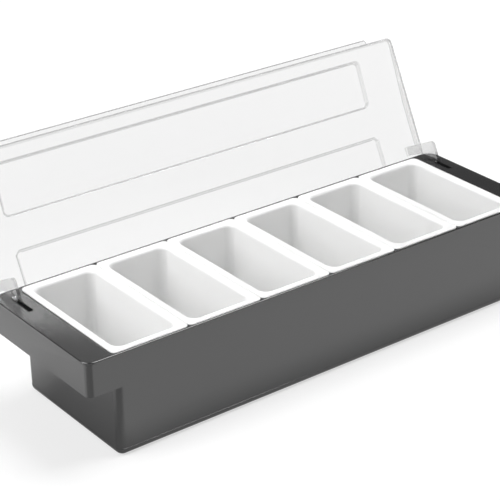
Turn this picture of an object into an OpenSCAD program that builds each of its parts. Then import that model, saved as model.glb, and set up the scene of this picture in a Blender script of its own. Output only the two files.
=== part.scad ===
// Condiment caddy for a bar or a buffet: a one-piece base carries six lift-out pans over an
// ice space, and one clear lid swings on two gooseneck legs that pass through slots in the deck.
// X runs along the caddy, +Y points to the back and +Z up. The origin is the middle of the
// underside. The lid is drawn open, resting against the back wall; closed, it covers the pans.

/* [Pans] */
// Width of one pan over its rim
pan_w = 74; // [60:0.5:90]
// Depth of one pan over its rim, front to back
pan_d = 139.5; // [120:0.5:170]
// Height of one pan, from its floor to the top of its rim
pan_h = 72; // [50:1:90]
// Thickness of the pan wall and floor
pan_wall = 1.6; // [1.2:0.1:2.2]
// Thickness of the pan rim, which lies on the deck
pan_rim_t = 1.5; // [1:0.1:1.8]
// Width of the pan rim outside the pan wall
pan_rim_w = 5.8; // [4.5:0.1:7]
// Corner radius of the pan rim
pan_rim_r = 4.5; // [3:0.5:8]
// Corner radius of the pan body
pan_corner_r = 9.5; // [8:0.5:14]
// Radius between the pan wall and the pan floor
pan_floor_r = 7; // [4:0.5:7.5]
// Width of the sloping lead-in round the mouth of the pan
pan_mouth = 2.2; // [1:0.1:3]
// Depth of that lead-in
pan_mouth_drop = 0.8; // [0.4:0.1:1]
// Draft of the pan wall, in degrees
pan_draft = 2.5; // [1:0.1:4]
// Gap between neighbouring rims
pan_gap = 0.8; // [0.4:0.1:2]
// Play of the pan bodies in the opening of the deck
pan_play = 0.9; // [0.5:0.1:1.5]

/* [Base] */
// Height of the ice space under the pans
ice_h = 25.5; // [15:0.5:60]
// Wall thickness of the base
base_wall = 2.5; // [2:0.1:3.5]
// Thickness of the deck, whose edge is fully rounded
deck_t = 3; // [2.4:0.1:4]
// How far the deck stands out over the walls
lip = 1.5; // [0.8:0.1:2.5]
// Deck in front of the pans
front_strip = 1.2; // [0.8:0.1:6]
// Deck behind the pans
rear_strip = 4.8; // [4:0.1:10]
// Deck beyond the pans at each end
end_strip = 26; // [24:0.5:40]
// Corner radius of the deck at the front
deck_front_r = 10; // [6:0.5:12]
// Corner radius of the deck at the back
deck_rear_r = 12; // [10:0.5:14]
// Vertical corner radius of the tub
tub_corner_r = 7; // [6:0.5:9]
// Radius round the underside of the tub
foot_r = 5; // [3.5:0.5:6]
// Draft of the outer walls, in degrees
draft = 0.9; // [0.5:0.1:1.5]
// Height of the end wings, from the top of the deck to their lower edge
wing_h = 32.5; // [26:0.5:40]
// Vertical corner radius of the end wings
wing_corner_r = 6; // [4:0.5:8]

/* [Lid] */
// Wall thickness of the lid
lid_wall = 2; // [1.5:0.1:2.6]
// Inner height of the closed lid over the deck, behind its bend
lid_rise = 7; // [6:0.1:10]
// Inner height of the closed lid over the deck, at its front edge
lid_front_rise = 2.5; // [2.3:0.1:4]
// Depth of the part of the lid that slopes down to the front
lid_slope_d = 66; // [50:1:75]
// Gap between the skirt of the closed lid and the deck
lid_seat_gap = 0.3; // [0.2:0.05:0.5]
// Gap between the front skirt of the closed lid and the pan rims
lid_pan_gap = 0.3; // [0.2:0.05:0.5]
// How far the closed lid stands out over the ends and the rear edge of the deck
lid_over = 1.2; // [0.8:0.1:2]
// Corner radius of the lid
lid_corner_r = 6; // [4:0.5:9]
// Depth of the grip along the front edge
grip_d = 4; // [3.5:0.5:12]
// Corner radius of the grip
grip_r = 3; // [1:0.5:3]
// Distance from the side of the lid to the end of the grip
grip_inset = 31; // [20:1:60]
// Height of the two raised fields of the lid
field_h = 1.2; // [0.6:0.1:1.6]
// Width of the sloping edge of a raised field
field_edge = 2.8; // [2:0.1:3]
// Corner radius of a raised field
field_r = 3.2; // [3.1:0.1:6]
// Distance from the side of the lid to a raised field
field_side = 44; // [30:1:60]
// Distance from the front skirt to the front field
field_front = 11; // [8:0.5:16]
// Distance from the front field to the bend
field_bend = 4.7; // [3:0.1:8]
// Distance from the bend to the rear field
field_gap = 23.7; // [16:0.1:30]
// Distance from the rear field to the rear edge
field_rear = 9; // [6:0.5:14]

/* [Hinge] */
// Angle between the closed and the open lid
open_angle = 117.4; // [110:0.1:120]
// Distance of the hinge axis from the rear edge of the deck
hinge_inset = 10.3; // [9.8:0.1:11]
// Distance of the hinge axis below the top of the deck
hinge_drop = 14.2; // [13.5:0.1:15.5]
// Distance of a leg's middle from the end of the deck
leg_inset = 13.5; // [12:0.1:14]
// Thickness of a leg
leg_t = 3; // [2.4:0.1:3.4]
// Width of the leg's arm, which hangs from the lid
arm_w = 9.2; // [7:0.1:11]
// Thickness of the leg's foot, under its throat
foot_t = 6; // [4:0.1:7]
// Width of the leg's web, between the foot and the pin
web_w = 6; // [5:0.1:8]
// Corner radius of the foot
leg_corner_r = 4; // [2:0.5:5]
// Clearance of the leg's throat from the rear edge of the deck
throat_gap = 0.7; // [0.5:0.1:1.5]
// How far the centre of the throat lies above the hinge axis
throat_lift = 2; // [1:0.1:3]
// Diameter of the hinge pins
pin_d = 6; // [5:0.1:7]
// Radial clearance of the hinge pins in their lugs
pin_gap = 0.075; // [0.03:0.005:0.1]
// Wall of the leg's boss round the hinge pin
boss_wall = 1.8; // [1:0.1:2.2]
// Wall of the lug round the hinge pin
lug_wall = 3; // [2:0.1:3.5]
// Thickness of the lug
lug_t = 3; // [2.5:0.1:3.5]
// Gap between the slot and the lug beside it
lug_gap = 0.3; // [0.2:0.05:0.6]
// Depth of the deck behind the slot for a leg
slot_rear = 14; // [13.5:0.1:15]
// Clearance on each side of a leg in its slot
slot_gap = 1; // [0.6:0.1:1.4]
// Clearance in front of the leg's swing in its slot
slot_front_gap = 0.8; // [0.5:0.1:2]
// Gap between the skirt of the open lid and the back wall
open_gap = 0.3; // [0.2:0.05:0.6]

/* [Hidden] */

pan_count = 6;
curve_fn = 32;       // facets of a full circle in the blended shells
pan_fn = 24;         // the same for the pans
edge_fn = 16;        // the same across a rounded edge
round_fn = 96;       // circles of slots, legs, pins and bores
thin = 0.01;         // thickness of the rings that a shell is stretched between
sink = 0.6;          // how far joined pieces of one moulding reach into each other
cut = 1;             // how far a cut reaches past the faces it opens
margin = 20;         // how far a cutting outline reaches past the lid
slot_corner_r = 1;   // corner radius of the slots
hollow_r = 1;        // corner radius of the wing hollows beside the tub
opening_r = 6;       // corner radius of the opening in the deck

// The row of pans sets the size of the base.
row_w = pan_count * pan_w + (pan_count - 1) * pan_gap;
caddy_w = row_w + 2 * end_strip;
lid_w = caddy_w + 2 * lid_over;
caddy_d = front_strip + pan_d + rear_strip;
caddy_h = base_wall + ice_h + pan_h - pan_rim_t;
front_y = -caddy_d / 2;
rear_y = caddy_d / 2;
row_y = front_y + front_strip + pan_d / 2;
opening_w = row_w - 2 * (pan_rim_w - pan_play);
opening_d = pan_d - 2 * (pan_rim_w - pan_play);
tub_w = opening_w + 2 * base_wall;
tub_d = caddy_d - 2 * lip;
wing_w = caddy_w - 2 * lip;

// Hinge axis, and the swing of a leg about it.
hinge_y = rear_y - hinge_inset;
hinge_z = caddy_h - hinge_drop;
leg_x = caddy_w / 2 - leg_inset;
throat_r = norm([hinge_inset, hinge_drop]) + throat_gap;
arm_reach = throat_r + arm_w;
foot_drop = throat_r - throat_lift + foot_t;
swing_r = norm([arm_reach - leg_corner_r, foot_drop - leg_corner_r]) + leg_corner_r;
slot_back_y = rear_y - slot_rear;
slot_front_y = hinge_y - sqrt(pow(swing_r, 2) - pow(hinge_drop - deck_t, 2)) - slot_front_gap;
slot_w = leg_t + 2 * slot_gap;
lug_x = leg_x + slot_w / 2 + lug_gap;
boss_r = pin_d / 2 + boss_wall;
lug_r = pin_d / 2 + lug_wall;

// Closed lid: its front skirt drops in front of the pan rims.
lid_front_y = front_y + front_strip - lid_pan_gap - lid_wall;
lid_rear_y = rear_y + lid_over;
bend_y = lid_front_y + lid_slope_d;
slope_y = lid_front_y + lid_wall;
slope = atan((lid_rise - lid_front_rise) / (bend_y - slope_y));
skirt_z = caddy_h + lid_seat_gap;
// Behind the legs the skirt is cut back, so that the open lid stops just at the back wall.
cut_back_y = hinge_y - arm_reach;
rear_u = lid_rear_y - hinge_y;
wall_drop = hinge_drop + rear_u * sin(open_angle) - hinge_drop * cos(open_angle);
wall_u = hinge_inset - lip - wall_drop * tan(draft) + open_gap;
rear_skirt_z = hinge_z + (wall_u - rear_u * cos(open_angle)) / sin(open_angle);

// ---- shapes shared by the pieces ----

// Flat rounded rectangle about the origin.
module rounded_rect(w, d, r, fn = round_fn) {
    square([w - 2 * r, d], center = true);
    square([w, d - 2 * r], center = true);
    for (x = [-1, 1], y = [-1, 1])
        translate([x * (w / 2 - r), y * (d / 2 - r)]) circle(r, $fn = fn);
}

// Places its children at the four corners of a rectangle.
module at_corners(w, d, inset)
    for (x = [-1, 1], y = [-1, 1])
        translate([x * (w / 2 - inset), y * (d / 2 - inset), 0]) children();

// Round bar bent into a ring: outer radius r, bar radius edge_r.
module ring(r, edge_r, fn)
    rotate_extrude($fn = fn) intersection() {
        translate([r - edge_r, 0]) circle(edge_r, $fn = edge_fn);
        translate([0, -edge_r]) square([r, 2 * edge_r]);
    }

// Block with its top at z = 0 that narrows downward by the angle a, with round corners of
// radius r and, where foot is above 0, a rounded lower edge.
module drafted_block(w, d, h, a, r, foot, fn) {
    low = 2 * (h - foot) * tan(a);
    hull() {
        translate([0, 0, -thin]) at_corners(w, d, r) cylinder(r = r, h = thin, $fn = fn);
        translate([0, 0, foot - h]) at_corners(w - low, d - low, r)
            if (foot > 0) ring(r, foot, fn); else cylinder(r = r, h = thin, $fn = fn);
    }
}

// ---- base ----

// Deck plate with a fully rounded edge.
module deck_plate() {
    edge = deck_t / 2;
    translate([0, 0, caddy_h - edge]) hull()
        for (x = [-1, 1]) {
            translate([x * (caddy_w / 2 - deck_front_r), front_y + deck_front_r, 0])
                ring(deck_front_r, edge, curve_fn);
            translate([x * (caddy_w / 2 - deck_rear_r), rear_y - deck_rear_r, 0])
                ring(deck_rear_r, edge, curve_fn);
        }
}

// Space between the end wall of the tub and the skirt of the right wing, open below.
module wing_hollow() {
    top = caddy_h - deck_t;
    outer_r = wing_corner_r - base_wall;
    inner_d = tub_d - 2 * base_wall;
    outer_x = wing_w / 2 - base_wall;
    hull() for (y = [-1, 1]) {
        translate([outer_x - outer_r, y * (inner_d / 2 - outer_r), top - wing_h])
            cylinder(r = outer_r, h = wing_h, $fn = curve_fn);
        for (drop = [deck_t, deck_t + wing_h])
            translate([tub_w / 2 - drop * tan(draft) + hollow_r, y * (inner_d / 2 - hollow_r),
                       caddy_h - drop])
                cylinder(r = hollow_r, h = thin, $fn = edge_fn);
    }
}

// Plate under the deck that carries a hinge pin.
module lug() {
    back_y = tub_d / 2 - base_wall + sink;
    translate([lug_x, 0, 0]) rotate([90, 0, 90]) linear_extrude(lug_t) difference() {
        union() {
            translate([hinge_y, hinge_z]) circle(lug_r, $fn = round_fn);
            translate([hinge_y - lug_r, hinge_z])
                square([back_y - hinge_y + lug_r, hinge_drop - deck_t + sink]);
            translate([hinge_y, hinge_z - lug_r]) square([back_y - hinge_y, lug_r + sink]);
        }
        translate([hinge_y, hinge_z]) circle(pin_d / 2 + pin_gap, $fn = round_fn);
    }
}

module base() color([0.25, 0.25, 0.26]) {
    shoulder_h = wing_h - deck_t / 2;
    tub_h = caddy_h - wing_h;
    // Walls narrow from the deck down, so the tub starts a little smaller than the wings.
    tub_shrink = 2 * wing_h * tan(draft);
    top_shrink = 2 * (deck_t / 2) * tan(draft);
    inner_top = caddy_h - deck_t;
    difference() {
        union() {
            deck_plate();
            translate([0, 0, caddy_h - deck_t / 2])
                drafted_block(wing_w - top_shrink, tub_d - top_shrink, shoulder_h, draft,
                              wing_corner_r, 0, curve_fn);
            translate([0, 0, tub_h])
                drafted_block(tub_w - tub_shrink, tub_d - tub_shrink, tub_h, draft,
                              tub_corner_r, foot_r, curve_fn);
        }
        translate([0, 0, inner_top])
            drafted_block(tub_w - 2 * base_wall, tub_d - 2 * base_wall, inner_top - base_wall,
                          draft, tub_corner_r - base_wall, foot_r - base_wall, curve_fn);
        wing_hollow();
        mirror([1, 0, 0]) wing_hollow();
        translate([0, row_y, inner_top - cut])
            linear_extrude(deck_t + 2 * cut) rounded_rect(opening_w, opening_d, opening_r);
        for (x = [-1, 1])
            translate([x * leg_x, (slot_back_y + slot_front_y) / 2, inner_top - cut])
                linear_extrude(deck_t + 2 * cut)
                    rounded_rect(slot_w, slot_back_y - slot_front_y, slot_corner_r);
    }
    lug();
    mirror([1, 0, 0]) lug();
}

// ---- pans ----

// Pan with its rim's underside at z = 0.
module pan_shell() {
    body_w = pan_w - 2 * pan_rim_w;
    body_d = pan_d - 2 * pan_rim_w;
    body_h = pan_h - pan_rim_t;
    edge = pan_rim_t / 2;
    difference() {
        union() {
            translate([0, 0, edge]) hull()
                at_corners(pan_w, pan_d, pan_rim_r) ring(pan_rim_r, edge, pan_fn);
            translate([0, 0, edge])
                drafted_block(body_w, body_d, body_h + edge, pan_draft, pan_corner_r,
                              pan_floor_r, pan_fn);
        }
        translate([0, 0, pan_rim_t])
            drafted_block(body_w - 2 * pan_wall, body_d - 2 * pan_wall, pan_h - pan_wall,
                          pan_draft, pan_corner_r - pan_wall, pan_floor_r - pan_wall, pan_fn);
        // The lead-in runs on a little into the open middle of the pan.
        translate([0, 0, pan_rim_t + thin])
            drafted_block(body_w - 2 * pan_wall + 2 * pan_mouth,
                          body_d - 2 * pan_wall + 2 * pan_mouth, pan_mouth_drop + thin + sink,
                          atan(pan_mouth / pan_mouth_drop),
                          pan_corner_r + pan_mouth - pan_wall, 0, pan_fn);
    }
}

// Pan number i, counted from the left.
module pan(i) color([0.95, 0.95, 0.94])
    translate([(i - (pan_count + 1) / 2) * (pan_w + pan_gap), row_y, caddy_h]) pan_shell();

// ---- lid ----

// Outline of the space under the closed lid in the Y-Z plane, seen from +X.
module lid_space_side() polygon([
    [slope_y, skirt_z - margin], [slope_y, caddy_h + lid_front_rise], [bend_y, caddy_h + lid_rise],
    [lid_rear_y - lid_wall, caddy_h + lid_rise], [lid_rear_y - lid_wall, skirt_z - margin]
]);

// Everything under the free edge of the skirt, which rises behind the legs.
module under_skirt_side() polygon([
    [lid_front_y - margin, skirt_z - margin], [lid_front_y - margin, skirt_z],
    [cut_back_y, skirt_z], [lid_rear_y, rear_skirt_z], [lid_rear_y + margin, rear_skirt_z],
    [lid_rear_y + margin, skirt_z - margin]
]);

// Stretches a Y-Z outline over a width w along X, about the middle.
module along_x(w)
    translate([-w / 2, 0, 0]) rotate([90, 0, 90]) linear_extrude(w) children();

// Outer form of the closed lid before it is hollowed.
module lid_form() {
    hull() for (x = [-1, 1]) {
        for (end = [[lid_front_y + lid_corner_r, lid_front_rise],
                    [lid_rear_y - lid_corner_r, lid_rise]])
            translate([x * (lid_w / 2 - lid_corner_r), end[0], caddy_h]) {
                translate([0, 0, end[1]]) ring(lid_corner_r, lid_wall, curve_fn);
                cylinder(r = lid_corner_r, h = thin, $fn = curve_fn);
            }
        translate([x * (lid_w / 2 - lid_wall), bend_y, caddy_h + lid_rise])
            rotate([90, 0, 0]) cylinder(r = lid_wall, h = thin, $fn = edge_fn);
    }
}

// Raised field on the X-Y plane, from y = 0 back to y = d, with sloping edges that run on into
// the wall below it.
module raised_field(d) {
    w = lid_w - 2 * field_side;
    run_on = sink * field_edge / field_h;
    base_w = w + 2 * run_on;
    base_d = d + 2 * run_on;
    shrink = 2 * (field_edge + run_on);
    translate([0, d / 2, -sink])
        linear_extrude(sink + field_h, scale = [1 - shrink / base_w, 1 - shrink / base_d])
            rounded_rect(base_w, base_d, field_r + run_on, edge_fn);
}

// Both raised fields in place, shifted up by lift from the inner face of the lid.
module raised_fields(lift) translate([0, 0, caddy_h + lift]) {
    translate([0, slope_y, lid_front_rise]) rotate([slope, 0, 0])
        translate([0, field_front, 0])
            raised_field((bend_y - slope_y) / cos(slope) - field_front - field_bend);
    translate([0, bend_y + field_gap, lid_rise])
        raised_field(lid_rear_y - field_rear - bend_y - field_gap);
}

// Thin ledge along the front edge for the fingers.
module grip() {
    w = lid_w - 2 * grip_inset;
    translate([0, lid_front_y - grip_d, skirt_z]) linear_extrude(lid_wall) difference() {
        translate([0, grip_d]) rounded_rect(w, 2 * grip_d, grip_r);
        translate([-w / 2, grip_d + sink]) square([w, grip_d]);
    }
}

// Gooseneck leg in the Y-Z plane about the hinge axis, with the lid closed: arm, foot and web.
module leg_side() {
    arm_top = hinge_drop + lid_rise + sink;
    difference() {
        union() {
            translate([-arm_reach, -foot_drop + leg_corner_r])
                square([arm_w + leg_corner_r * 2, arm_top + foot_drop - leg_corner_r]);
            translate([-arm_reach + leg_corner_r, -foot_drop])
                square([arm_reach + web_w / 2 - leg_corner_r, foot_drop]);
            translate([-arm_reach + leg_corner_r, -foot_drop + leg_corner_r])
                circle(leg_corner_r, $fn = round_fn);
        }
        translate([0, throat_lift]) circle(throat_r, $fn = round_fn);
        translate([-throat_r, throat_lift]) square([2 * throat_r, arm_top]);
    }
    translate([-web_w / 2, -foot_drop]) square([web_w, foot_drop]);
    circle(boss_r, $fn = round_fn);
}

// Right leg with its hinge pin, which points outward.
module leg() translate([leg_x - leg_t / 2, hinge_y, hinge_z]) rotate([90, 0, 90]) {
    linear_extrude(leg_t) leg_side();
    cylinder(d = pin_d, h = lug_x - leg_x + leg_t / 2 + lug_t, $fn = round_fn);
}

module closed_lid() {
    difference() {
        union() {
            lid_form();
            raised_fields(lid_wall);
        }
        intersection() {
            along_x(lid_w) lid_space_side();
            translate([0, (lid_front_y + lid_rear_y) / 2, 0]) linear_extrude(2 * caddy_h)
                rounded_rect(lid_w - 2 * lid_wall, lid_rear_y - lid_front_y - 2 * lid_wall,
                             lid_corner_r - lid_wall);
        }
        raised_fields(0);
        along_x(2 * lid_w) under_skirt_side();
    }
    grip();
    leg();
    mirror([1, 0, 0]) leg();
}

module lid() color([0.85, 0.88, 0.9, 0.45])
    translate([0, hinge_y, hinge_z]) rotate([-open_angle, 0, 0])
        translate([0, -hinge_y, -hinge_z]) closed_lid();

base();
pan(1);  // pan_1
pan(2);  // pan_2
pan(3);  // pan_3
pan(4);  // pan_4
pan(5);  // pan_5
pan(6);  // pan_6
lid();
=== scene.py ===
# %% [markdown]
# # A condiment caddy with a clear flip lid
#
# A bar caddy is a long dark base with six white pans dropped into its deck and one clear lid
# that swings back on two gooseneck legs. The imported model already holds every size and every
# joint. This lesson models the same mouldings again with finer rounding, gives them their
# plastics, and sets them in a plain white studio.

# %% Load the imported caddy
import math

import bmesh
import bpy
from mathutils import Matrix, Vector


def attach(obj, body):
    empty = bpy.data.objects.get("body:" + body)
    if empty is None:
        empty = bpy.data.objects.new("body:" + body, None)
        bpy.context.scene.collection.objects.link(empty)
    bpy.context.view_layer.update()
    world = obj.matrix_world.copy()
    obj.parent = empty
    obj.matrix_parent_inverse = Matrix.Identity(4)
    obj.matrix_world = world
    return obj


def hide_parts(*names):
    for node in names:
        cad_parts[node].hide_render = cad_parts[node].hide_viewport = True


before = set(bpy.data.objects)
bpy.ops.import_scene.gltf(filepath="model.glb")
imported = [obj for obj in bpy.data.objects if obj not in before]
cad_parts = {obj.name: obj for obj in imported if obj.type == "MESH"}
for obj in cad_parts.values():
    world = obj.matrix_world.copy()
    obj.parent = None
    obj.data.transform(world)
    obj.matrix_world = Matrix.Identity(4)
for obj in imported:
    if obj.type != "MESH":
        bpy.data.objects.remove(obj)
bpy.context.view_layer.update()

# %% [markdown]
# ## Sizes
#
# Everything below is written in millimetres, because that is how a mould is drawn. A finished
# mesh is scaled to metres once, at the end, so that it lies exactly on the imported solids. The
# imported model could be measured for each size, but named values are easier to read and to tie
# together. The sizes of a moulding stand just before it, and these few are shared by all.

# %% Sizes of the deck and the walls, in millimetres
MM = 0.001  # one millimetre in metres
caddy_w, caddy_d, caddy_h = 500, 145.5, 98.5
deck_t, base_wall = 3, 2.5
lip = 1.5  # how far the deck stands out over the walls
opening_w, opening_d = 438.2, 129.7  # the opening that the pans hang through
pan_y = -1.8  # the row of pans lies a little in front of the middle
wing_w, tub_w, tub_d = caddy_w - 2 * lip, opening_w + 2 * base_wall, caddy_d - 2 * lip
print("deck", caddy_w, "x", caddy_d, "mm, tub", round(tub_w, 2), "x", round(tub_d, 2), "mm")

# %% [markdown]
# ## Camera
#
# A long lens from well back keeps the long caddy from looking stretched. The camera stands to
# the left of the front and looks down. It could be aimed with a constraint, but plain angles
# are exact and easy to check.

# %% Set the camera
camera_turn, camera_tilt, camera_roll = -37.95, 26.37, 0.01  # degrees
camera_data = bpy.data.cameras.new("camera")
camera_data.lens, camera_data.sensor_width = 126.92, 36
camera_data.shift_x, camera_data.shift_y = -0.001, 0.001
camera = bpy.data.objects.new("camera", camera_data)
camera.location = (-0.87755, -1.08459, 0.78496)
camera.rotation_euler = [math.radians(angle)
                         for angle in (90 - camera_tilt, camera_roll, camera_turn)]
bpy.context.scene.collection.objects.link(camera)
bpy.context.scene.camera = camera
bpy.context.scene.view_settings.view_transform = "Standard"
print("camera", round(camera.location.length, 2), "m from the middle of the underside")

# %% [markdown]
# ## Tools for moulded shapes
#
# Almost every part of the caddy is a rounded rectangle carried up or down with a little draft,
# the slight taper that lets a moulding leave its mould. One helper makes such an outline from a
# grid of a single face with beveled corners. A second one stacks outlines and bridges them.
# Primitive cubes would need every corner rounded afterwards, and the round corners would not
# follow the draft.

# %% Rounded outline
SEGMENTS = 10  # steps round a quarter circle, where a piece asks for no other number


def rounded_face(bm, size, radii, place, segments=SEGMENTS):
    """Adds one flat face: size (width, depth), corner radii (front, rear), middle at place."""
    before = set(bm.faces)
    corners = bmesh.ops.create_grid(bm, x_segments=1, y_segments=1, size=0.5)["verts"]
    bmesh.ops.scale(bm, vec=(*size, 1), verts=corners)
    sides = [[v for v in corners if v.co.y * side > 0] for side in (-1, 1)]
    for ends, radius in zip(sides, radii):
        if radius:
            bmesh.ops.bevel(bm, geom=ends, offset=radius, offset_type="OFFSET", profile=0.5,
                            segments=segments, affect="VERTICES", material=-1)
    face = next(f for f in bm.faces if f not in before)
    bmesh.ops.translate(bm, vec=place, verts=face.verts)
    return face


# %% Block from a stack of outlines
def loft(rings, radii, segments=SEGMENTS):
    """A closed block through rings of (width, depth, middle), with radii (front, rear)."""
    bm = bmesh.new()
    faces = [rounded_face(bm, ring[:2], radii, ring[2], segments) for ring in rings]
    loops = [list(face.edges) for face in faces]
    bmesh.ops.delete(bm, geom=faces[1:-1], context="FACES_ONLY")
    for low, high in zip(loops, loops[1:]):
        bmesh.ops.bridge_loops(bm, edges=low + high)
    bmesh.ops.recalc_face_normals(bm, faces=bm.faces)
    return bm


# %% Round the edges of a block
NEAR = 0.001  # heights that differ by less than this count as one, in millimetres


def edges_at(bm, height):
    """All edges that lie level at a height."""
    return [e for e in bm.edges if all(abs(v.co.z - height) < NEAR for v in e.verts)]


def round_off(bm, edges, radius, segments):
    """Rounds edges with a bevel."""
    bmesh.ops.bevel(bm, geom=edges, offset=radius, offset_type="OFFSET", profile=0.5,
                    segments=segments, affect="EDGES", material=-1, clamp_overlap=True)


# %% [markdown]
# The lugs and the legs of the hinge are flat plates. They could be drawn as outlines too, but
# plain boxes and round bars are easier to read. A cone with two equal ends is a cylinder.

# %% Plain blocks and round bars
def block(low, high):
    """A box between two corners."""
    bm = bmesh.new()
    corners = bmesh.ops.create_cube(bm, size=1)["verts"]
    bmesh.ops.scale(bm, vec=[b - a for a, b in zip(low, high)], verts=corners)
    bmesh.ops.translate(bm, vec=[(a + b) / 2 for a, b in zip(low, high)], verts=corners)
    return bm


def bar(radius, ends, y, z, segments=64):
    """A round bar along X between two x values."""
    bm = bmesh.new()
    bmesh.ops.create_cone(bm, cap_ends=True, segments=segments, radius1=radius, radius2=radius,
                          depth=max(ends) - min(ends))
    bmesh.ops.rotate(bm, cent=(0, 0, 0), matrix=Matrix.Rotation(math.radians(90), 3, "Y"),
                     verts=bm.verts)
    bmesh.ops.translate(bm, vec=(sum(ends) / 2, y, z), verts=bm.verts)
    return bm


# %% [markdown]
# ### Joining and cutting
#
# A moulding is one skin, so its blocks are joined and its hollows cut with Boolean modifiers
# before anything is shown. Separate overlapping meshes would be quicker, but clear plastic
# would then show every hidden face inside it. Two faces in one plane make a Boolean unsure, so
# a cutter reaches past what it cuts, and a joined block sinks into its neighbour.

# %% From a bmesh to an object
def as_object(bm, name):
    """Turns a bmesh into an object of the scene."""
    mesh = bpy.data.meshes.new(name)
    bm.to_mesh(mesh)
    bm.free()
    made = bpy.data.objects.new(name, mesh)
    bpy.context.scene.collection.objects.link(made)
    return made


# %% Join and cut blocks
PAST = 1  # how far a cutter reaches past what it cuts, in millimetres
SINK = 0.6  # how far a joined block sinks into its neighbour
ONE_POINT = 0.0005  # points closer than this are merged


def mould(start, steps):
    """Takes a block through steps of ("UNION" or "DIFFERENCE", block) and returns the result."""
    body = as_object(start, "body_in_work")
    tools = []
    for number, (how, shape) in enumerate(steps):
        tools.append(as_object(shape, "tool_in_work"))
        step = body.modifiers.new(f"step_{number}", "BOOLEAN")
        step.operation, step.solver, step.object = how, "EXACT", tools[-1]
    result = bmesh.new()
    result.from_object(body, bpy.context.evaluated_depsgraph_get())
    for helper in [body] + tools:
        bpy.data.objects.remove(helper)
    bmesh.ops.remove_doubles(result, verts=result.verts, dist=ONE_POINT)
    return result


# %% Finish a mesh as a piece
def finish_piece(bm, name, node, sharp=30):
    """Scales the mesh to metres, smooths it up to an angle and lets it stand for its node."""
    bmesh.ops.scale(bm, vec=(MM, MM, MM), verts=bm.verts)
    for face in bm.faces:
        face.smooth = True
    for edge in bm.edges:
        edge.smooth = edge.calc_face_angle(0) < math.radians(sharp)
    piece = as_object(bm, name)
    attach(piece, node)
    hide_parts(node)
    print(name, len(piece.data.polygons), "faces")
    return piece


# %% [markdown]
# ## Base
#
# The real base is one dark moulding: a deck with a rounded edge, a full-width shoulder that
# ends in hollow wings, and a narrower tub for ice. Its walls narrow downward by 0.9 degrees.
# Where the parts of the mould meet, a fine step runs round the foot of the tub. It could be a
# line in the material, but a real step also catches the light along its edge.

# %% Shoulder and tub
draft = math.radians(0.9)
wing_h = 32.5
wing_z = caddy_h - wing_h
wing_corner_r, tub_corner_r, foot_r = 6, 7, 6.2
parting_z, parting_out, parting_h = 6.8, 0.1, 0.075  # below parting_z the foot stands out


def drafted(width, depth, height, out=0):
    """Outline at a height, for walls that narrow below the top of the deck, moved outward."""
    shrink = 2 * (caddy_h - height) * math.tan(draft)
    return width - shrink + 2 * out, depth - shrink + 2 * out, (0, 0, height)


shoulder = loft([drafted(wing_w, tub_d, z) for z in (wing_z, caddy_h - deck_t / 2)],
                (wing_corner_r, wing_corner_r))
foot_rings = [drafted(tub_w, tub_d, z, parting_out) for z in (0, parting_z)]
wall_rings = [drafted(tub_w, tub_d, z) for z in (parting_z + parting_h, wing_z)]
tub = loft(foot_rings + wall_rings, (tub_corner_r, tub_corner_r))
round_off(tub, edges_at(tub, 0), foot_r, 8)
print("shoulder", len(shoulder.faces), "faces, tub", len(tub.faces), "faces")

# %% [markdown]
# The deck is a plate on top of both. Its rear corners are a little wider than its front ones,
# and its edge is rounded more tightly above than below. One round for both would be simpler,
# but the tight upper one draws the thin bright line along the edge of such a moulding.

# %% Deck with its round edge
deck_under = caddy_h - deck_t
front_corner_r, rear_corner_r = 10, 12
lower_round, upper_round = 1.6, 1.1
deck = loft([(caddy_w, caddy_d, (0, 0, z)) for z in (deck_under, caddy_h)],
            (front_corner_r, rear_corner_r), 14)
round_off(deck, edges_at(deck, deck_under), lower_round, 6)
round_off(deck, edges_at(deck, caddy_h), upper_round, 6)
print("deck", len(deck.faces), "faces")

# %% [markdown]
# The tub is hollow for ice, the pans hang through one large opening, the wings are hollow so
# that fingers can lift the caddy, and each leg of the lid has its slot. The base could get its
# walls from Solidify, but its deck and its walls differ in thickness, so the hollows are
# blocks of their own that are cut away.

# %% Hollow of the tub and opening of the deck
inner_foot_r, opening_r = 2.5, 6
inner_w, inner_d = tub_w - 2 * base_wall, tub_d - 2 * base_wall
inner_corner_r = tub_corner_r - base_wall
inner_shrink = 2 * deck_under * math.tan(draft)
tub_inside = loft([(inner_w - inner_shrink, inner_d - inner_shrink, (0, 0, base_wall)),
                   (inner_w, inner_d, (0, 0, deck_under))], (inner_corner_r, inner_corner_r))
round_off(tub_inside, edges_at(tub_inside, base_wall), inner_foot_r, 5)
through_deck = (deck_under - PAST, caddy_h + PAST)
opening = loft([(opening_w, opening_d, (0, pan_y, z)) for z in through_deck],
               (opening_r, opening_r))
print("opening", opening_w, "x", opening_d, "mm")

# %% Hollows of the wings
hollow_r = 2
hollow_past = 3  # how far the hollow reaches out below the wing


def wing_hollow(side):
    """Space under a wing, between the tub's end wall and the wing's skirt."""
    outer = wing_w / 2 - base_wall
    rings = []
    for z in (wing_z - hollow_past, deck_under):
        inner = tub_w / 2 - (caddy_h - z) * math.tan(draft)
        rings.append((outer - inner, inner_d, (side * (outer + inner) / 2, 0, z)))
    return loft(rings, (hollow_r, hollow_r))


print("wing hollows", round(wing_w / 2 - base_wall - tub_w / 2, 1), "mm wide under the deck")

# %% [markdown]
# The lid swings about two pins below the deck. Each leg passes through a slot that is as long
# as the path of its foot. Beside the slot a lug hangs under the deck and holds the pin in a
# closed bore. The lug is joined to the deck above it and to the rear wall behind it. It could be
# put together from a plate and a round bar, but their sides would lie in one plane, so it is
# one block with one edge rounded about the pin.

# %% Slots for the legs, in millimetres
leg_x, leg_t = 236.5, 3
slot_w, slot_r = 5, 1
slot_front, slot_back = 29.86, 58.75  # where a slot begins and ends, front to rear


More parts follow.
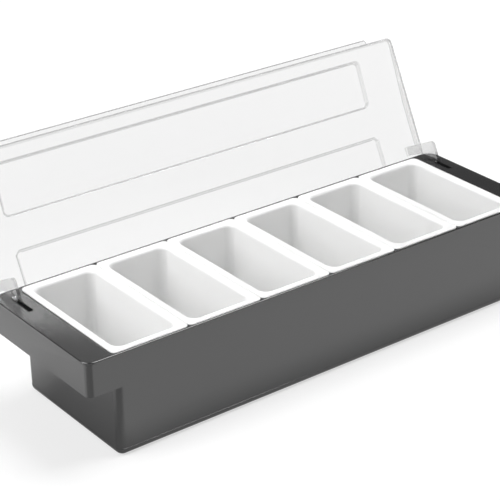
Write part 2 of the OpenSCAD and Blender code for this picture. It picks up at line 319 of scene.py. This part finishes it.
def leg_slot(side):
    """Slot in the deck for one leg of the lid."""
    middle = (side * leg_x, (slot_front + slot_back) / 2)
    return loft([(slot_w, slot_back - slot_front, (*middle, z)) for z in through_deck],
                (slot_r, slot_r), 4)


print("slots", slot_w, "x", round(slot_back - slot_front, 2), "mm")

# %% Hinge lugs
hinge_y, hinge_z = 62.45, 84.3
pin_r, pin_gap = 3, 0.075
lug_gap, lug_t, lug_wall = 0.3, 3, 3
lug_in = leg_x + slot_w / 2 + lug_gap
lug_out, lug_r = lug_in + lug_t, pin_r + lug_wall
lug_back = tub_d / 2 - base_wall + SINK


def lug(side):
    """Plate under the deck that holds one hinge pin, with a round corner about the pin."""
    ends = (side * lug_in, side * lug_out)
    front, under = hinge_y - lug_r, hinge_z - lug_r
    plate = block((min(ends), front, under), (max(ends), lug_back, deck_under + SINK))
    corner = [e for e in edges_at(plate, under) if all(v.co.y < front + NEAR for v in e.verts)]
    round_off(plate, corner, lug_r, 16)
    return plate


def bore(side):
    """Hole through a lug for its hinge pin."""
    ends = (side * (lug_in - PAST), side * (lug_out + PAST))
    return bar(pin_r + pin_gap, ends, hinge_y, hinge_z)


print("lugs from", round(lug_in, 2), "to", round(lug_out, 2), "mm beside the middle")

# %% Mould the base
base_steps = [("UNION", tub), ("UNION", deck), ("DIFFERENCE", tub_inside)]
base_steps += [("DIFFERENCE", wing_hollow(side)) for side in (-1, 1)]
base_steps += [("DIFFERENCE", opening)]
base_steps += [("DIFFERENCE", leg_slot(side)) for side in (-1, 1)]
base_steps += [("UNION", lug(side)) for side in (-1, 1)]
base_steps += [("DIFFERENCE", bore(side)) for side in (-1, 1)]
base = finish_piece(mould(shoulder, base_steps), "base_moulding", "base")

# %% [markdown]
# ## Pans
#
# A pan is a thin deep tray with a flat rim. Its inner skin comes first: the floor, the mouth
# and the rim's edge are three outlines bridged into one surface, with a wide bevel at the floor
# and a soft roll at the mouth. A Solidify modifier then gives it its wall on the outside, and a
# Bevel modifier rounds the rim. Carving a pan from a solid block would need a second set of
# walls to be kept in step.

# %% Inner skin of a pan
pan_w, pan_d, pan_top, pan_floor = 74.5, 139.5, 100, 29.5
mouth_size, floor_size = (59.2, 124.7), (53.05, 118.55)
pan_corner_r, rim_corner_r = 7.9, 4.5
floor_round, mouth_round = 5.4, 3


def pan_skin():
    """Floor, walls, mouth and rim of a pan as one open surface that faces inward and up."""
    bm = bmesh.new()
    floor = rounded_face(bm, floor_size, (pan_corner_r, pan_corner_r), (0, 0, pan_floor))
    mouth = rounded_face(bm, mouth_size, (pan_corner_r, pan_corner_r), (0, 0, pan_top))
    rim = rounded_face(bm, (pan_w, pan_d), (rim_corner_r, rim_corner_r), (0, 0, pan_top))
    loops = [list(face.edges) for face in (floor, mouth, rim)]
    bmesh.ops.delete(bm, geom=[mouth, rim], context="FACES_ONLY")
    for low, high in zip(loops, loops[1:]):
        bmesh.ops.bridge_loops(bm, edges=low + high)
    round_off(bm, loops[0], floor_round, 8)
    # at the mouth, one of the two faces beside an edge leads down into the pan
    mouth_edges = [e for e in edges_at(bm, pan_top) if len(e.link_faces) == 2
                   and min(f.normal.z ** 2 for f in e.link_faces) < 0.5]
    round_off(bm, mouth_edges, mouth_round, 6)
    bmesh.ops.recalc_face_normals(bm, faces=bm.faces)
    lowest = min(bm.faces, key=lambda f: f.calc_center_median().z)
    if lowest.normal.z < 0:
        bmesh.ops.reverse_faces(bm, faces=bm.faces)
    return bm


print("pan", pan_w, "x", pan_d, "mm over its rim,", pan_top - pan_floor, "mm deep inside")

# %% Place the six pans
PANS = 6
pan_pitch, pan_wall, rim_round = 74.8, 1.5, 0.7
first_pan_x = -(PANS - 1) / 2 * pan_pitch


def pan(number):
    """Pan number 1 to 6, counted from the left."""
    bm = pan_skin()
    middle = (first_pan_x + (number - 1) * pan_pitch, pan_y, 0)
    bmesh.ops.translate(bm, vec=middle, verts=bm.verts)
    node = f"pan_{number}"
    made = finish_piece(bm, f"{node}_moulding", node, sharp=60)
    wall = made.modifiers.new("wall", "SOLIDIFY")
    wall.thickness, wall.offset, wall.use_even_offset = pan_wall * MM, -1, True
    rounding = made.modifiers.new("rounding", "BEVEL")
    rounding.width, rounding.segments, rounding.limit_method = rim_round * MM, 4, "ANGLE"
    rounding.angle_limit = math.radians(50)
    return made


pans = [pan(number) for number in range(1, PANS + 1)]

# %% [markdown]
# ## Lid
#
# The lid is one clear moulding: a shallow cover that bends down to the front, with a skirt all
# round, two raised fields that stiffen it, a narrow grip along the front and two gooseneck
# legs. It is modelled closed, as the mould is cut, and swung open at the end. A sheet with
# Solidify would be simpler, but the legs and the grip have to grow out of it in one skin.
#
# Behind the legs the skirt is cut back along a slanting line. How far follows from the open
# lid, whose skirt then lies along the rear wall of the base with a small gap.

# %% Sizes of the lid, in millimetres
lid_wall, lid_over, lid_gap = 2, 1.2, 0.3
lid_corner_r = 6
lid_w = caddy_w + 2 * lid_over
lid_front, lid_rear = -73.85, caddy_d / 2 + lid_over
lid_rise, front_rise = 7, 2.5  # inner heights over the deck, at the rear and at the front
lid_top, skirt_z = caddy_h + lid_rise + lid_wall, caddy_h + lid_gap
bend_y, slope = -7.85, math.radians(4.022)
throat_r, throat_lift = 18.242, 2  # the throat of a leg clears the rear edge of the deck
arm_w, foot_t = 9.2, 6
arm_reach, foot_drop = throat_r + arm_w, throat_r - throat_lift + foot_t
cut_back_y, skirt_rear_z = hinge_y - arm_reach, 99.963
open_angle = math.radians(117.4)
print("lid", round(lid_rear - lid_front, 2), "mm deep, opens", round(math.degrees(open_angle), 1))

# %% Tools for the cover
def lid_block(width, front, rear, radius, top, low):
    """Block whose top is flat behind the bend and slopes down in front of it."""
    middle = (front + rear) / 2
    bm = loft([(width, rear - front, (0, middle, z)) for z in (low, top)], (radius, radius), 8)
    bmesh.ops.bisect_plane(bm, geom=bm.verts[:] + bm.edges[:] + bm.faces[:],
                           plane_co=(0, bend_y, 0), plane_no=(0, 1, 0))
    for vert in bm.verts:
        if vert.co.z > top - NEAR and vert.co.y < bend_y:
            vert.co.z -= (bend_y - vert.co.y) * math.tan(slope)
    bm.normal_update()
    return bm


def top_edges(bm):
    """Edges between the sloping or flat top and the upright sides."""
    return [e for e in bm.edges if len(e.link_faces) == 2
            and max(f.normal.z for f in e.link_faces) > 0.9
            and min(abs(f.normal.z) for f in e.link_faces) < 0.1]


# %% Outside and inside of the cover
inner_round = 1
inside_past = 8  # how far the inside reaches out below the skirt
lid_outside = lid_block(lid_w, lid_front, lid_rear, lid_corner_r, lid_top, skirt_z)
bmesh.ops.bisect_plane(lid_outside,
                       geom=lid_outside.verts[:] + lid_outside.edges[:] + lid_outside.faces[:],
                       plane_co=(0, cut_back_y, skirt_z),
                       plane_no=(0, skirt_z - skirt_rear_z, lid_rear - cut_back_y),
                       clear_inner=True)
cut_edges = [e for e in lid_outside.edges if len(e.link_faces) == 1]
bmesh.ops.contextual_create(lid_outside, geom=cut_edges)
lid_outside.normal_update()
round_off(lid_outside, top_edges(lid_outside), lid_wall, 6)
lid_inside = lid_block(lid_w - 2 * lid_wall, lid_front + lid_wall, lid_rear - lid_wall,
                       lid_corner_r - lid_wall, lid_top - lid_wall, skirt_z - inside_past)
round_off(lid_inside, top_edges(lid_inside), inner_round, 4)
print("cover", len(lid_outside.faces), "faces outside,", len(lid_inside.faces), "inside")

# %% [markdown]
# ### Raised fields
#
# Two long fields are raised a little out of the sheet, one on each side of the bend, so that
# it does not flex. Each is one stack of outlines: it starts under the sheet, rises gently,
# turns steep and levels out again. The same stack is joined outside and cut away inside, which
# keeps the wall even. A plain step with a bevel would be less work, but the two soft turns are
# what draws a double line in clear plastic.

# %% Block of a raised field
field_r, field_inset = 4.5, 44  # corner radius, and from each end of the lid to a field
field_half = lid_w / 2 - field_inset
field_profile = [(-1.6, -0.46), (0, 0), (0.6, 0.16), (1, 0.42), (1.8, 1.62), (2.3, 1.84),
                 (3, 2)]  # (distance in from the outline, height)


def raised_field(length, start, lift, tilt):
    """A low step with softly curved edges, from start = (y, z) back over length."""
    bm = loft([(2 * (field_half - inset), length - 2 * inset, (0, length / 2, height))
               for inset, height in field_profile], (field_r, field_r), 6)
    bmesh.ops.rotate(bm, cent=(0, 0, 0), matrix=Matrix.Rotation(tilt, 3, "X"), verts=bm.verts)
    bmesh.ops.translate(bm, vec=(0, start[0], start[1] + lift), verts=bm.verts)
    return bm


# %% Both raised fields
front_strip, rear_strip = 11, 23.7  # from the front wall and from the bend to a field
front_field_d, rear_field_d = 48.46, 49.1
front_field_start = (lid_front + lid_wall + front_strip * math.cos(slope),
                     caddy_h + front_rise + front_strip * math.sin(slope))
rear_field_start = (bend_y + rear_strip, lid_top - lid_wall)


def fields(lift):
    """Both fields, lifted from the inner face of the sheet."""
    return [raised_field(front_field_d, front_field_start, lift, slope),
            raised_field(rear_field_d, rear_field_start, lift, 0)]


print("fields", round(2 * field_half, 1), "mm long,", front_field_d, "and", rear_field_d, "deep")

# %% [markdown]
# ### Grip and legs
#
# The grip is a narrow ledge for the fingers along the front edge. A leg is a flat plate: its
# arm hangs from the lid, its foot passes under the edge of the deck, and its web carries the
# hinge pin. One large bar cuts the throat between them. The leg could be drawn as one outline
# and extruded, but round cutters keep the throat and the boss exact circles.

# %% Grip along the front edge
grip_d, grip_inset, grip_r, grip_round = 4, 31, 3, 0.96
grip_w = lid_w - 2 * grip_inset
grip_y = lid_front - grip_d + (grip_d + SINK) / 2
grip = loft([(grip_w, grip_d + SINK, (0, grip_y, z)) for z in (skirt_z, skirt_z + lid_wall)],
            (grip_r, 0), 8)
level_edges = edges_at(grip, skirt_z) + edges_at(grip, skirt_z + lid_wall)
outer_edges = [e for e in level_edges if any(v.co.y < lid_front - 0.5 for v in e.verts)]
round_off(grip, outer_edges, grip_round, 4)
print("grip", grip_w, "mm long,", grip_d, "mm deep")

# %% Gooseneck legs
foot_y, foot_z = hinge_y - arm_reach, hinge_z - foot_drop  # front and underside of the foot
throat_z, arm_top = hinge_z + throat_lift, lid_top - lid_wall + SINK
toe_r, boss_r, web_w = 4, 4.8, 6
web_up, web_in = 0.5, 0.01  # keep two sides of the web out of the planes of the foot
open_back, open_top = 30, 120  # the throat is open this far behind the pin and up to here


def leg(side):
    """One leg with its hinge pin, which points outward."""
    ends = (side * (leg_x - leg_t / 2), side * (leg_x + leg_t / 2))
    low, high = min(ends), max(ends)
    web_back = hinge_y + web_w / 2
    plate = block((low, foot_y, foot_z), (high, web_back, arm_top))
    toe = [e for e in edges_at(plate, foot_z) if all(v.co.y < foot_y + NEAR for v in e.verts)]
    round_off(plate, toe, toe_r, 10)
    throat = bar(throat_r, (low - PAST, high + PAST), hinge_y, throat_z, 128)
    above = block((low - PAST, hinge_y - throat_r, throat_z),
                  (high + PAST, hinge_y + open_back, open_top))
    web = block((low, hinge_y - web_w / 2, foot_z + web_up), (high, web_back - web_in, hinge_z))
    boss = bar(boss_r, ends, hinge_y, hinge_z)
    pin = bar(pin_r, (side * leg_x, side * lug_out), hinge_y, hinge_z)
    return mould(plate, [("DIFFERENCE", throat), ("DIFFERENCE", above), ("UNION", web),
                         ("UNION", boss), ("UNION", pin)])


print("throat", round(2 * throat_r, 1), "mm wide, foot", foot_t, "mm thick")

# %% Mould the lid
lid_steps = [("UNION", shape) for shape in fields(lid_wall)]
lid_steps += [("DIFFERENCE", lid_inside)]
lid_steps += [("DIFFERENCE", shape) for shape in fields(0)]
lid_steps += [("UNION", grip)]
lid_steps += [("UNION", leg(side)) for side in (-1, 1)]
lid_mesh = mould(lid_outside, lid_steps)
lid_mesh.normal_update()
print("closed lid", len(lid_mesh.faces), "faces")

# %% [markdown]
# ### A finish for each kind of face
#
# Clear plastic hardly shows where it is flat. It shows where it bends, where it ends and where
# it is seen edge on. A renderer overdoes that: light is trapped in a thin edge of pure glass,
# and the edge turns black. So the faces of the lid are sorted into five material slots by where
# they lie and how they are turned, and each slot gets its own clear plastic further down. The
# free edge of the skirt is one long face, so it is first split where the end skirts begin.

# %% Split the free edge of the skirt
LEVEL = 0.978  # a face counts as level where its normal is within 12 degrees of upright
CLOSE = 0.1  # and as lying at a height or a depth within this many millimetres
end_skirt_x = lid_w / 2 - lid_wall
for side in (-1, 1):
    free_edge = [face for face in lid_mesh.faces
                 if face.normal.z < -LEVEL
                 and abs(face.calc_center_median().z - skirt_z) < CLOSE]
    edge_parts = [part for face in free_edge for part in [face, *face.edges, *face.verts]]
    bmesh.ops.bisect_plane(lid_mesh, geom=list(dict.fromkeys(edge_parts)), plane_no=(1, 0, 0),
                           plane_co=(side * end_skirt_x, 0, 0))
print("closed lid", len(lid_mesh.faces), "faces with its free edge split")

# %% Sort the faces of the lid
PANEL, EDGE, STEP, END, RIM = range(5)
SIDEWAYS = 0.95  # a face of an end or a leg looks almost straight to the left or right
STEEP = (0.5, 0.6)  # the steep sides of the fields lean by about 56 degrees


def kind_of(face):
    """Material slot for one face of the closed lid."""
    place, upright = face.calc_center_median(), abs(face.normal.z)
    level = upright > LEVEL
    low_edge = level and place.z < skirt_rear_z + CLOSE and place.y > lid_front
    on_rim = place.y < lid_front - grip_d + 1 or (place.y < lid_front - CLOSE and not level)
    on_field = abs(place.x) < field_half + 1 and place.y > lid_front + 5
    if on_rim or (low_edge and abs(place.x) > end_skirt_x):
        return RIM
    if abs(face.normal.x) > SIDEWAYS:
        return END
    if on_field and STEEP[0] < upright < STEEP[1]:
        return STEP
    return PANEL if level and not low_edge else EDGE


for face in lid_mesh.faces:
    face.material_index = kind_of(face)
kinds = [face.material_index for face in lid_mesh.faces]
print("faces of each kind:", [kinds.count(kind) for kind in (PANEL, EDGE, STEP, END, RIM)])

# %% [markdown]
# Now the lid is swung back about its hinge pins. Its broad flat faces share smooth edges with
# narrow rounded ones, and plain smoothing would bend their shading as if the sheet were
# pillowed. A Weighted Normal modifier gives the broad faces the last word.

# %% Swing the lid open and finish it
bmesh.ops.rotate(lid_mesh, cent=(0, hinge_y, hinge_z),
                 matrix=Matrix.Rotation(-open_angle, 3, "X"), verts=lid_mesh.verts)
lid = finish_piece(lid_mesh, "lid_moulding", "lid")
flat_faces = lid.modifiers.new("flat_faces", "WEIGHTED_NORMAL")
flat_faces.mode = "FACE_AREA"
flat_faces.keep_sharp = True

# %% [markdown]
# ## Plastics
#
# The base is a dark, finely grained moulding, the pans are smooth and white, and the lid is
# clear. Image textures could carry the grain, but noise in object space needs no unwrapping
# and keeps its scale on every face.

# %% Tools for materials
def new_plastic(name):
    """A new material with its node tree, its shader and its object coordinates."""
    material = bpy.data.materials.new(name)
    material.use_nodes = True
    tree = material.node_tree
    where = tree.nodes.new("ShaderNodeTexCoord")
    return material, tree, tree.nodes["Principled BSDF"], where.outputs["Object"]


def noise(tree, where, scale, detail):
    """Soft noise through the whole piece, centred on 0.5."""
    node = tree.nodes.new("ShaderNodeTexNoise")
    node.inputs["Scale"].default_value = scale
    node.inputs["Detail"].default_value = detail
    tree.links.new(where, node.inputs["Vector"])
    return node.outputs["Fac"]


def ramp(tree, value, start, end, low, high):
    """A value that goes from low at start to high at end."""
    node = tree.nodes.new("ShaderNodeMapRange")
    for socket, number in (("From Min", start), ("From Max", end), ("To Min", low),
                           ("To Max", high)):
        node.inputs[socket].default_value = number
    tree.links.new(value, node.inputs["Value"])
    return node.outputs["Result"]


# %% Tools for gloss, colour and grain
def spread(tree, value, low, high, target):
    """Sends a noise value to a socket as a number between low and high."""
    tree.links.new(ramp(tree, value, start=0.3, end=0.7, low=low, high=high), target)


def blend_colours(tree, value, first, second, target):
    """Sends a colour between two colours to a socket."""
    node = tree.nodes.new("ShaderNodeMix")
    node.data_type = "RGBA"
    node.inputs["A"].default_value = (*first, 1)
    node.inputs["B"].default_value = (*second, 1)
    tree.links.new(value, node.inputs["Factor"])
    tree.links.new(node.outputs["Result"], target)


def grain(tree, value, strength, distance, shader):
    """Roughens the surface with a bump."""
    node = tree.nodes.new("ShaderNodeBump")
    node.inputs["Strength"].default_value = strength
    node.inputs["Distance"].default_value = distance
    tree.links.new(value, node.inputs["Height"])
    tree.links.new(node.outputs["Normal"], shader.inputs["Normal"])


# %% [markdown]
# The base is nearly black and shows mostly by what it mirrors, so its reflections are set a
# little stronger than usual. Slow noise varies its colour and its gloss, and fine noise gives
# the grain of the mould. One flat colour would look like paint.

# %% Dark grained plastic of the base
dark_plastic, dark_tree, dark_shader, dark_where = new_plastic("dark_grained_plastic")
blend_colours(dark_tree, noise(dark_tree, dark_where, scale=22, detail=3),
              (0.015, 0.015, 0.0153), (0.019, 0.019, 0.0193), dark_shader.inputs["Base Color"])
spread(dark_tree, noise(dark_tree, dark_where, scale=60, detail=4), 0.15, 0.2,
       dark_shader.inputs["Roughness"])
dark_shader.inputs["IOR"].default_value = 1.55
dark_shader.inputs["Specular IOR Level"].default_value = 1
grain(dark_tree, noise(dark_tree, dark_where, scale=1500, detail=2), 0.03, 0.0001, dark_shader)
base.data.materials.append(dark_plastic)
print(base.name, "is", dark_plastic.name)

# %% [markdown]
# The pans are thin white plastic that takes a little light in and spreads it, which softens
# the shade in their corners. A plain white surface would look like plaster, so they get
# subsurface scattering over a few millimetres.

# %% White plastic of the pans
white_plastic, white_tree, white_shader, white_where = new_plastic("white_smooth_plastic")
blend_colours(white_tree, noise(white_tree, white_where, scale=30, detail=2),
              (0.8, 0.8, 0.797), (0.812, 0.812, 0.809), white_shader.inputs["Base Color"])
spread(white_tree, noise(white_tree, white_where, scale=45, detail=4), 0.34, 0.42,
       white_shader.inputs["Roughness"])
white_shader.inputs["Subsurface Weight"].default_value = 1
white_shader.inputs["Subsurface Radius"].default_value = (1, 1, 1)
white_shader.inputs["Subsurface Scale"].default_value = 0.003
for made in pans:
    made.data.materials.append(white_plastic)
print(len(pans), "pans are", white_plastic.name)

# %% [markdown]
# The lid is one plastic in five variants. The panel is almost pure glass, but the light of the
# lamps passes straight through it, because glass would leave the pans under a closed lid in
# the dark. The edges, steps, ends and rims mix glass with a plain see-through shader of a
# light grey tint, so that they show as grey lines and bands. That grey is painted shade,
# standing in for the lines that refraction draws along the bends and edges of clear plastic.
# One glass for the whole lid would be simpler, but its edges would be black.

# %% Tools for clear plastic
def clear_plastic(name, tint, smooth, rough):
    """Tinted glass whose roughness varies between smooth and rough."""
    material, tree, shader, where = new_plastic(name)
    shader.inputs["Base Color"].default_value = (tint, tint, tint, 1)
    shader.inputs["Transmission Weight"].default_value = 1
    shader.inputs["IOR"].default_value = 1.49
    spread(tree, noise(tree, where, scale=70, detail=5), smooth, rough,
           shader.inputs["Roughness"])
    return material


def let_light_through(material, tint, share=None):
    """Lets a share of the light pass straight through or, without a share, the lamps' light."""
    tree = material.node_tree
    straight = tree.nodes.new("ShaderNodeBsdfTransparent")
    straight.inputs["Color"].default_value = (tint, tint, tint, 1)
    both = tree.nodes.new("ShaderNodeMixShader")
    if share:
        both.inputs["Fac"].default_value = share
    else:
        rays = tree.nodes.new("ShaderNodeLightPath")
        tree.links.new(rays.outputs["Is Shadow Ray"], both.inputs["Fac"])
    tree.links.new(tree.nodes["Principled BSDF"].outputs["BSDF"], both.inputs[1])
    tree.links.new(straight.outputs["BSDF"], both.inputs[2])
    tree.links.new(both.outputs["Shader"], tree.nodes["Material Output"].inputs["Surface"])


# %% Clear plastic of the lid
clear = clear_plastic("clear_plastic", 0.915, smooth=0, rough=0.01)
let_light_through(clear, 0.95)
# the grey tints of the edge, step, end and rim variants are painted shade for the lines along the
# lid's bends and edges
clear_edge = clear_plastic("clear_plastic_edge", 0.6, smooth=0.1, rough=0.14)
let_light_through(clear_edge, 0.82, share=0.7)
clear_step = clear_plastic("clear_plastic_step", 0.92, smooth=0.08, rough=0.12)
let_light_through(clear_step, 0.93, share=0.75)
clear_end = clear_plastic("clear_plastic_end", 0.84, smooth=0.08, rough=0.12)
let_light_through(clear_end, 0.875, share=0.75)
clear_rim = clear_plastic("clear_plastic_rim", 0.6, smooth=0.1, rough=0.14)
let_light_through(clear_rim, 0.62, share=0.7)
for material in (clear, clear_edge, clear_step, clear_end, clear_rim):
    lid.data.materials.append(material)
print(lid.name, "has", len(lid.data.materials), "clear plastics")

# %% [markdown]
# ## Studio
#
# The caddy stands on a pale floor that runs past the view. The floor is grey, so that it throws
# little light back up at the dark walls, and it glows, so that it still looks white. The glow
# is there only for what the camera sees, straight or through the clear lid, and for
# reflections, so it puts no light on the caddy, and the floor keeps the caddy's shadow. A
# brighter lamp would whiten the floor too, but it would bleach the pans.

# %% Floor
FLOOR_HALF = 6  # metres from the middle of the floor to its edge
floor_mesh = bmesh.new()
bmesh.ops.create_grid(floor_mesh, x_segments=1, y_segments=1, size=FLOOR_HALF)
floor = as_object(floor_mesh, "studio_floor")
floor_material, floor_tree, floor_shader, floor_where = new_plastic("studio_floor")
floor_shader.inputs["Base Color"].default_value = (0.36, 0.36, 0.36, 1)
floor_shader.inputs["Roughness"].default_value = 0.9
floor_shader.inputs["Specular IOR Level"].default_value = 0
floor.data.materials.append(floor_material)
print(floor.name, 2 * FLOOR_HALF, "m wide")

# %% [markdown]
# In a reflection the glow is dimmer in two fixed places of the floor, and both are painted
# shade. Close to the tub the glow is dimmed as if the caddy shaded the floor there, and the
# glossy walls mirror that as a darker foot. Off the left front corner an unlit patch is painted
# into the glow, and the rounded corners mirror it as dark upright bands. A dark card on the
# floor would do the same, but it would be seen.

# %% Painted shade in the mirrored glow, in metres
def work(operation, first, second):
    """One step of arithmetic between sockets or numbers, in the floor's material."""
    node = floor_tree.nodes.new("ShaderNodeMath")
    node.operation = operation
    for socket, value in zip(node.inputs, (first, second)):
        if isinstance(value, (int, float)):
            socket.default_value = value
        else:
            floor_tree.links.new(value, socket)
    return node.outputs[0]


tub_half_w, tub_half_d = 0.5 * tub_w * MM, 0.5 * tub_d * MM
spot = floor_tree.nodes.new("ShaderNodeSeparateXYZ")
floor_tree.links.new(floor_where, spot.inputs["Vector"])
x, y = spot.outputs["X"], spot.outputs["Y"]
past_ends = work("SUBTRACT", work("ABSOLUTE", x, 0), tub_half_w)
past_ends = work("MULTIPLY", past_ends, 0.65)  # the shade reaches farther beyond the ends
past_sides = work("SUBTRACT", work("ABSOLUTE", y, 0), tub_half_d - 0.03)
# painted shade: the mirrored glow dims close to the tub, as if the caddy shaded the floor there
painted_tub_shade = ramp(floor_tree, work("MAXIMUM", past_ends, past_sides), start=0, end=0.07,
                low=0.1, high=1)
# painted shade: an unlit patch off the left front corner, which the rounded corners mirror as
# dark bands
past_left = work("SUBTRACT", work("MULTIPLY", x, -1), tub_half_w)
past_front = work("SUBTRACT", work("MULTIPLY", y, -1), tub_half_d)
painted_corner_shade = ramp(floor_tree, work("MINIMUM", past_left, past_front), start=-0.03, end=0.02,
                  low=1, high=0.2)
mirrored = work("MULTIPLY", painted_tub_shade, painted_corner_shade)
print("floor material has", len(floor_tree.nodes), "nodes so far")

# %% Glow of the floor
MIDDLE_GLOW = 0.59  # near the caddy the lamps do the rest
distance = floor_tree.nodes.new("ShaderNodeVectorMath")
distance.operation = "LENGTH"
floor_tree.links.new(floor_where, distance.inputs[0])
glow = ramp(floor_tree, distance.outputs["Value"], start=0.4, end=2.2, low=MIDDLE_GLOW, high=1)
rays = floor_tree.nodes.new("ShaderNodeLightPath").outputs
seen = work("MAXIMUM", rays["Is Camera Ray"], rays["Is Transmission Ray"])
seen = work("MAXIMUM", seen, work("MULTIPLY", rays["Is Glossy Ray"], mirrored))
floor_tree.links.new(work("MULTIPLY", glow, seen), floor_shader.inputs["Emission Strength"])
floor_shader.inputs["Emission Color"].default_value = (1, 1, 1, 1)
print("floor glows with", MIDDLE_GLOW, "near the caddy and 1 far from it")

# %% [markdown]
# The room is white at the horizon and falls off to a dim, even grey above it. A white dome
# would be simpler, but the polished dark deck would then mirror it and look pale, and the
# clear lid would lose its edges.

# %% White horizon and dim room
WHITE_BELOW, DIM_ABOVE, DIM = 0.14, 0.24, 0.12  # two heights of a direction, and a strength
world = bpy.data.worlds.new("studio_world")
bpy.context.scene.world = world
world.use_nodes = True
world_tree = world.node_tree
direction = world_tree.nodes.new("ShaderNodeTexCoord").outputs["Generated"]
height = world_tree.nodes.new("ShaderNodeSeparateXYZ")
world_tree.links.new(direction, height.inputs["Vector"])
strength = ramp(world_tree, height.outputs["Z"], start=WHITE_BELOW, end=DIM_ABOVE, low=1,
                high=DIM)
strength.node.interpolation_type = "SMOOTHSTEP"
background = world_tree.nodes["Background"]
world_tree.links.new(strength, background.inputs["Strength"])
background.inputs["Color"].default_value = (1, 1, 1, 1)
print("room has strength", DIM, "above its white horizon")

# %% [markdown]
# Three soft lamps do the lighting: a softbox high on the right, a wide one on the left that
# the front and the end walls mirror, and a weak card behind. Point lamps would render faster,
# but they throw hard shadows and leave hard spots on glossy plastic.

# %% Soft lamps
def soft_lamp(name, power, size, place, target):
    """A rectangular lamp at place that faces target."""
    data = bpy.data.lights.new(name, "AREA")
    data.energy = power
    data.shape = "RECTANGLE"
    data.size, data.size_y = size
    lamp = bpy.data.objects.new(name, data)
    lamp.location = place
    backward = Vector(place) - Vector(target)  # a lamp shines along its own -Z
    lamp.rotation_euler = backward.to_track_quat("Z", "Y").to_euler()
    bpy.context.scene.collection.objects.link(lamp)
    print(name, power, "W")


soft_lamp("key_softbox", 31, size=(1.1, 1.1), place=(0.62, -0.12, 1.8), target=(0, 0, 0))
soft_lamp("left_softbox", 31, size=(1.4, 1.6), place=(-1.5, 0.1, 1.25), target=(0, 0, 0))
soft_lamp("rear_card", 1.4, size=(1.3, 0.9), place=(0.55, 1.6, 1.15), target=(0, 0, 0.1))
